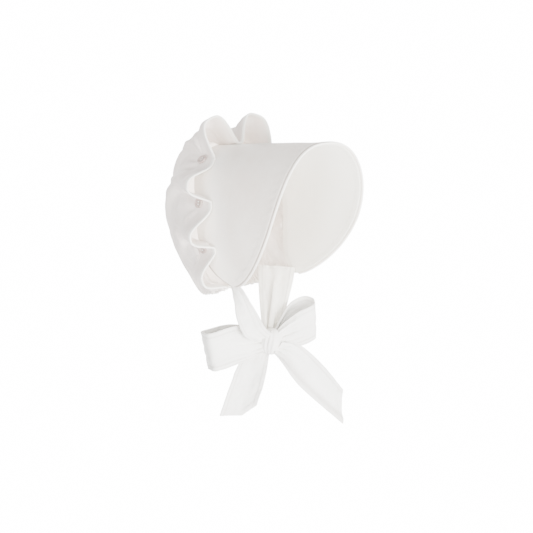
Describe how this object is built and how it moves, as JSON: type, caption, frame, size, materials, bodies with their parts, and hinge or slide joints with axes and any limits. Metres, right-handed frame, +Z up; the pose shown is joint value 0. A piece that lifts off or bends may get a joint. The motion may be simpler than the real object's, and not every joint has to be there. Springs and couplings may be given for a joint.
{
  "type": "baby bonnet",
  "caption": "Cotton sun bonnet for a baby: deep stiff brim, buttoned-on crown with a wavy bound edge and gathered neck, and sash ties knotted in a bow.",
  "frame": {"origin": "where the bonnet rests on the crown of the head: on its middle plane, on the brim's inner top line, seat height", "axes": "+Z up, the wearer faces -Y, +X is the wearer's left"},
  "size_m": [0.1868, 0.2164, 0.3498],
  "materials": {
    "cotton": "matte",
    "pearl_button": "satin"
  },
  "bodies": {
    "root": {"brim": "cotton", "brim_piping": "cotton", "crown": "cotton", "crown_binding": "cotton", "button_1": "pearl_button", "button_2": "pearl_button", "button_3": "pearl_button", "button_4": "pearl_button", "button_5": "pearl_button", "button_6": "pearl_button", "button_7": "pearl_button", "tie_right": "cotton", "tie_left": "cotton", "bow_knot": "cotton", "bow_loop_right": "cotton", "bow_loop_left": "cotton", "bow_tail_right": "cotton", "bow_tail_left": "cotton"}
  },
  "joints": []
}
